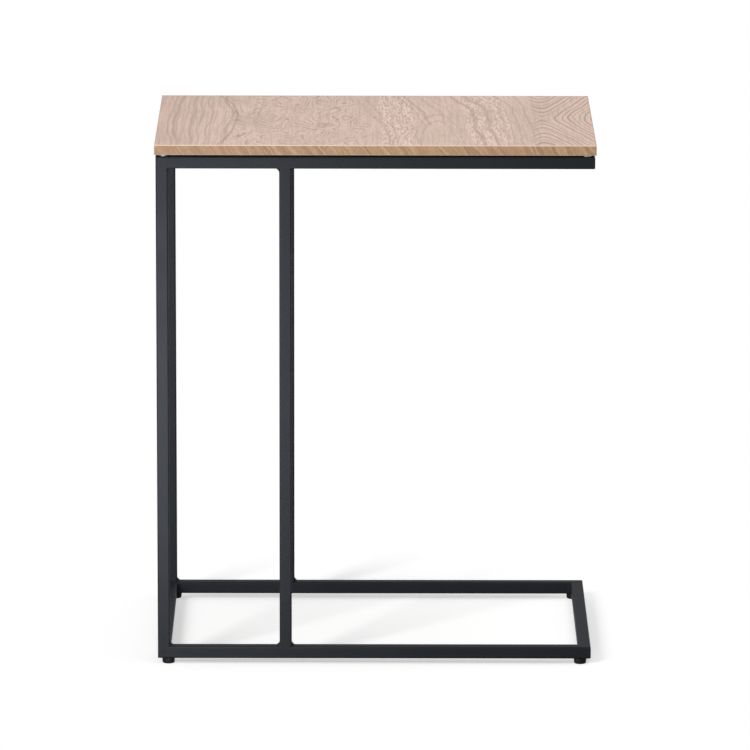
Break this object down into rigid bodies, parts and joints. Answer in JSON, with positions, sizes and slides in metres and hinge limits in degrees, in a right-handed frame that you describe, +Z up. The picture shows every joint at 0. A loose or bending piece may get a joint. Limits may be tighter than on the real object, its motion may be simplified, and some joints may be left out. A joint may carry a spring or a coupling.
{
  "type": "c shaped side table",
  "caption": "C shaped side table: a wood-look board on a black square-tube frame, open on one side so that its base slides under a seat, on screw-in levelling feet.",
  "frame": {"origin": "on the floor under the middle of the table", "axes": "+Z up, +X towards the open side of the C, +Y towards the back"},
  "size_m": [0.54, 0.34, 0.655],
  "materials": {
    "wood_face": "satin",
    "edge_band": "satin",
    "board_core": "matte",
    "backing_sheet": "matte",
    "powder_coat": "satin",
    "clear_bumper": "gloss",
    "foot_nylon": "matte",
    "plated_steel": "satin"
  },
  "bodies": {
    "table": {"back_base_rail": "powder_coat", "back_frame_welds": "powder_coat", "back_inner_post": "powder_coat", "back_left_post": "powder_coat", "back_top_rail": "powder_coat", "base_crossbar_welds": "powder_coat", "base_left_crossbar": "powder_coat", "base_right_crossbar": "powder_coat", "foot_weld_nuts": "plated_steel", "front_base_rail": "powder_coat", "front_frame_welds": "powder_coat", "front_inner_post": "powder_coat", "front_left_post": "powder_coat", "front_top_rail": "powder_coat", "tabletop_back_edge_band": "edge_band", "tabletop_backing_sheet": "backing_sheet", "tabletop_bumpers": "clear_bumper", "tabletop_core": "board_core", "tabletop_face_sheet": "wood_face", "tabletop_front_edge_band": "edge_band", "tabletop_left_edge_band": "edge_band", "tabletop_right_edge_band": "edge_band", "tabletop_screws": "plated_steel", "top_crossbar_welds": "powder_coat", "top_left_crossbar": "powder_coat", "top_right_crossbar": "powder_coat"},
    "front_left_stud": {"front_left_foot_stud": "plated_steel"},
    "front_left_pad": {"front_left_foot_pad": "foot_nylon"},
    "front_right_stud": {"front_right_foot_stud": "plated_steel"},
    "front_right_pad": {"front_right_foot_pad": "foot_nylon"},
    "back_left_stud": {"back_left_foot_stud": "plated_steel"},
    "back_left_pad": {"back_left_foot_pad": "foot_nylon"},
    "back_right_stud": {"back_right_foot_stud": "plated_steel"},
    "back_right_pad": {"back_right_foot_pad": "foot_nylon"}
  },
  "joints": [
    {"name": "front_left_foot_travel", "type": "slide", "parent": "table", "child": "front_left_stud", "axis": [0, 0, -1], "range_m": [0, 0.006]},
    {"name": "front_left_foot_turn", "type": "hinge", "parent": "front_left_stud", "child": "front_left_pad", "pos_m": [-0.2555, -0.161, 0], "axis": [0, 0, -1], "range_deg": [0, 2160]},
    {"name": "front_right_foot_travel", "type": "slide", "parent": "table", "child": "front_right_stud", "axis": [0, 0, -1], "range_m": [0, 0.006]},
    {"name": "front_right_foot_turn", "type": "hinge", "parent": "front_right_stud", "child": "front_right_pad", "pos_m": [0.2555, -0.161, 0], "axis": [0, 0, -1], "range_deg": [0, 2160]},
    {"name": "back_left_foot_travel", "type": "slide", "parent": "table", "child": "back_left_stud", "axis": [0, 0, -1], "range_m": [0, 0.006]},
    {"name": "back_left_foot_turn", "type": "hinge", "parent": "back_left_stud", "child": "back_left_pad", "pos_m": [-0.2555, 0.161, 0], "axis": [0, 0, -1], "range_deg": [0, 2160]},
    {"name": "back_right_foot_travel", "type": "slide", "parent": "table", "child": "back_right_stud", "axis": [0, 0, -1], "range_m": [0, 0.006]},
    {"name": "back_right_foot_turn", "type": "hinge", "parent": "back_right_stud", "child": "back_right_pad", "pos_m": [0.2555, 0.161, 0], "axis": [0, 0, -1], "range_deg": [0, 2160]}
  ],
  "couplings": [
    {"joint": "front_left_foot_turn", "follows": "front_left_foot_travel", "rad_per_m": 6283.2},
    {"joint": "front_right_foot_turn", "follows": "front_right_foot_travel", "rad_per_m": 6283.2},
    {"joint": "back_left_foot_turn", "follows": "back_left_foot_travel", "rad_per_m": 6283.2},
    {"joint": "back_right_foot_turn", "follows": "back_right_foot_travel", "rad_per_m": 6283.2}
  ]
}
